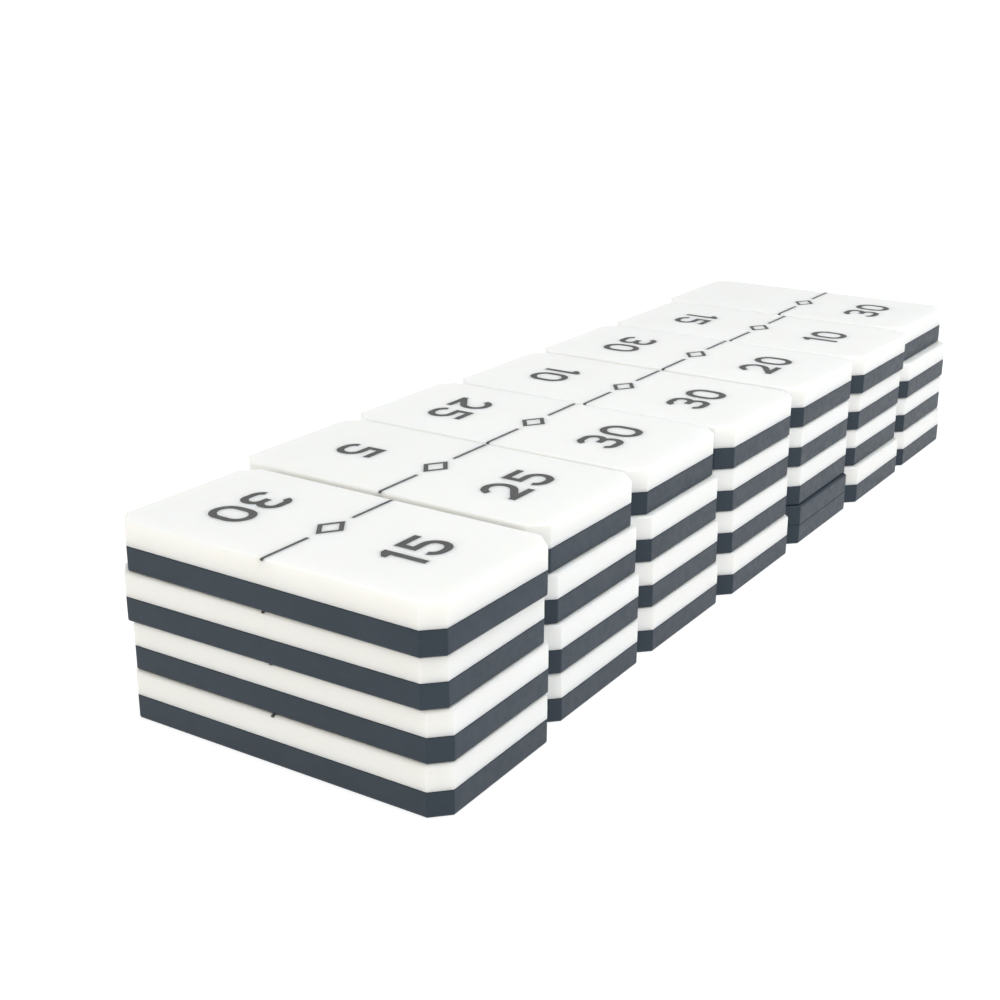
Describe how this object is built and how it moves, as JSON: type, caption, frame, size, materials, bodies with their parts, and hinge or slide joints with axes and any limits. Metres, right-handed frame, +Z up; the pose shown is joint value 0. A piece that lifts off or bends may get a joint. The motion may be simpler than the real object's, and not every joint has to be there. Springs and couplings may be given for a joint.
{
  "type": "number domino set",
  "caption": "Two-ply rectangular dominoes with chamfered corners and engraved numbers, stacked in piles side by side in one row.",
  "frame": {"origin": "middle of the nominal row at table level, on the underside of the middle pile's bottom tile", "axes": "+X along the row of piles, +Y along the length of each tile towards its upper number, +Z up from the table"},
  "size_m": [0.1721, 0.0515, 0.026],
  "materials": {
    "light_plastic": "smooth satin, warm white",
    "dark_plastic": "smooth satin, dark blue grey",
    "engraving_paint": "matt dark grey paint wiped into the engraving",
    "light_paint": "matt pale grey paint in the double blank's engraving"
  },
  "bodies": {
    "domino_30_15": {"domino_30_15_face": "light_plastic", "domino_30_15_base": "dark_plastic"},
    "domino_5_20": {"domino_5_20_face": "light_plastic", "domino_5_20_base": "dark_plastic"},
    "domino_10_10": {"domino_10_10_face": "light_plastic", "domino_10_10_base": "dark_plastic"},
    "domino_blank_25": {"domino_blank_25_face": "light_plastic", "domino_blank_25_base": "dark_plastic"},
    "domino_5_25": {"domino_5_25_face": "light_plastic", "domino_5_25_base": "dark_plastic"},
    "domino_blank_15": {"domino_blank_15_face": "light_plastic", "domino_blank_15_base": "dark_plastic"},
    "domino_20_20": {"domino_20_20_face": "light_plastic", "domino_20_20_base": "dark_plastic"},
    "domino_10_25": {"domino_10_25_face": "light_plastic", "domino_10_25_base": "dark_plastic"},
    "domino_25_30": {"domino_25_30_face": "light_plastic", "domino_25_30_base": "dark_plastic"},
    "domino_10_20": {"domino_10_20_face": "light_plastic", "domino_10_20_base": "dark_plastic"},
    "domino_blank_5": {"domino_blank_5_face": "light_plastic", "domino_blank_5_base": "dark_plastic"},
    "domino_15_15": {"domino_15_15_face": "light_plastic", "domino_15_15_base": "dark_plastic"},
    "domino_10_30": {"domino_10_30_face": "light_plastic", "domino_10_30_base": "dark_plastic"},
    "domino_25_25": {"domino_25_25_face": "light_plastic", "domino_25_25_base": "dark_plastic"},
    "domino_5_15": {"domino_5_15_face": "light_plastic", "domino_5_15_base": "dark_plastic"},
    "domino_blank_20": {"domino_blank_20_face": "light_plastic", "domino_blank_20_base": "dark_plastic"},
    "domino_30_20": {"domino_30_20_face": "light_plastic", "domino_30_20_base": "dark_plastic"},
    "domino_5_10": {"domino_5_10_face": "light_plastic", "domino_5_10_base": "dark_plastic"},
    "domino_15_25": {"domino_15_25_face": "light_plastic", "domino_15_25_base": "dark_plastic"},
    "domino_blank_blank": {"domino_blank_blank_face": "dark_plastic", "domino_blank_blank_base": "dark_plastic"},
    "domino_15_10": {"domino_15_10_face": "light_plastic", "domino_15_10_base": "dark_plastic"},
    "domino_20_25": {"domino_20_25_face": "light_plastic", "domino_20_25_base": "dark_plastic"},
    "domino_5_5": {"domino_5_5_face": "light_plastic", "domino_5_5_base": "dark_plastic"},
    "domino_30_30": {"domino_30_30_face": "light_plastic", "domino_30_30_base": "dark_plastic"},
    "domino_blank_30": {"domino_blank_30_face": "light_plastic", "domino_blank_30_base": "dark_plastic"},
    "domino_15_20": {"domino_15_20_face": "light_plastic", "domino_15_20_base": "dark_plastic"},
    "domino_5_30": {"domino_5_30_face": "light_plastic", "domino_5_30_base": "dark_plastic"},
    "domino_blank_10": {"domino_blank_10_face": "light_plastic", "domino_blank_10_base": "dark_plastic"}
  },
  "joints": [
    {"name": "slide_blank_25", "type": "slide", "parent": "domino_blank_20", "child": "domino_blank_25", "axis": [0, 1, 0], "range_m": [-0.06, 0.06]},
    {"name": "lift_10_10", "type": "slide", "parent": "domino_blank_25", "child": "domino_10_10", "axis": [0, 0, 1], "range_m": [0, 0.04]},
    {"name": "lift_5_20", "type": "slide", "parent": "domino_10_10", "child": "domino_5_20", "axis": [0, 0, 1], "range_m": [0, 0.04]},
    {"name": "lift_30_15", "type": "slide", "parent": "domino_5_20", "child": "domino_30_15", "axis": [0, 0, 1], "range_m": [0, 0.04]},
    {"name": "slide_10_25", "type": "slide", "parent": "domino_blank_20", "child": "domino_10_25", "axis": [0, 1, 0], "range_m": [-0.06, 0.06]},
    {"name": "lift_20_20", "type": "slide", "parent": "domino_10_25", "child": "domino_20_20", "axis": [0, 0, 1], "range_m": [0, 0.04]},
    {"name": "lift_blank_15", "type": "slide", "parent": "domino_20_20", "child": "domino_blank_15", "axis": [0, 0, 1], "range_m": [0, 0.04]},
    {"name": "lift_5_25", "type": "slide", "parent": "domino_blank_15", "child": "domino_5_25", "axis": [0, 0, 1], "range_m": [0, 0.04]},
    {"name": "slide_15_15", "type": "slide", "parent": "domino_blank_20", "child": "domino_15_15", "axis": [0, 1, 0], "range_m": [-0.06, 0.06]},
    {"name": "lift_blank_5", "type": "slide", "parent": "domino_15_15", "child": "domino_blank_5", "axis": [0, 0, 1], "range_m": [0, 0.04]},
    {"name": "lift_10_20", "type": "slide", "parent": "domino_blank_5", "child": "domino_10_20", "axis": [0, 0, 1], "range_m": [0, 0.04]},
    {"name": "lift_25_30", "type": "slide", "parent": "domino_10_20", "child": "domino_25_30", "axis": [0, 0, 1], "range_m": [0, 0.04]},
    {"name": "lift_5_15", "type": "slide", "parent": "domino_blank_20", "child": "domino_5_15", "axis": [0, 0, 1], "range_m": [0, 0.04]},
    {"name": "lift_25_25", "type": "slide", "parent": "domino_5_15", "child": "domino_25_25", "axis": [0, 0, 1], "range_m": [0, 0.04]},
    {"name": "lift_10_30", "type": "slide", "parent": "domino_25_25", "child": "domino_10_30", "axis": [0, 0, 1], "range_m": [0, 0.04]},
    {"name": "slide_blank_blank", "type": "slide", "parent": "domino_blank_20", "child": "domino_blank_blank", "axis": [0, 1, 0], "range_m": [-0.06, 0.06]},
    {"name": "lift_15_25", "type": "slide", "parent": "domino_blank_blank", "child": "domino_15_25", "axis": [0, 0, 1], "range_m": [0, 0.04]},
    {"name": "lift_5_10", "type": "slide", "parent": "domino_15_25", "child": "domino_5_10", "axis": [0, 0, 1], "range_m": [0, 0.04]},
    {"name": "lift_30_20", "type": "slide", "parent": "domino_5_10", "child": "domino_30_20", "axis": [0, 0, 1], "range_m": [0, 0.04]},
    {"name": "slide_30_30", "type": "slide", "parent": "domino_blank_20", "child": "domino_30_30", "axis": [0, 1, 0], "range_m": [-0.06, 0.06]},
    {"name": "lift_5_5", "type": "slide", "parent": "domino_30_30", "child": "domino_5_5", "axis": [0, 0, 1], "range_m": [0, 0.04]},
    {"name": "lift_20_25", "type": "slide", "parent": "domino_5_5", "child": "domino_20_25", "axis": [0, 0, 1], "range_m": [0, 0.04]},
    {"name": "lift_15_10", "type": "slide", "parent": "domino_20_25", "child": "domino_15_10", "axis": [0, 0, 1], "range_m": [0, 0.04]},
    {"name": "slide_blank_10", "type": "slide", "parent": "domino_blank_20", "child": "domino_blank_10", "axis": [0, 1, 0], "range_m": [-0.06, 0.06]},
    {"name": "lift_5_30", "type": "slide", "parent": "domino_blank_10", "child": "domino_5_30", "axis": [0, 0, 1], "range_m": [0, 0.04]},
    {"name": "lift_15_20", "type": "slide", "parent": "domino_5_30", "child": "domino_15_20", "axis": [0, 0, 1], "range_m": [0, 0.04]},
    {"name": "lift_blank_30", "type": "slide", "parent": "domino_15_20", "child": "domino_blank_30", "axis": [0, 0, 1], "range_m": [0, 0.04]}
  ]
}
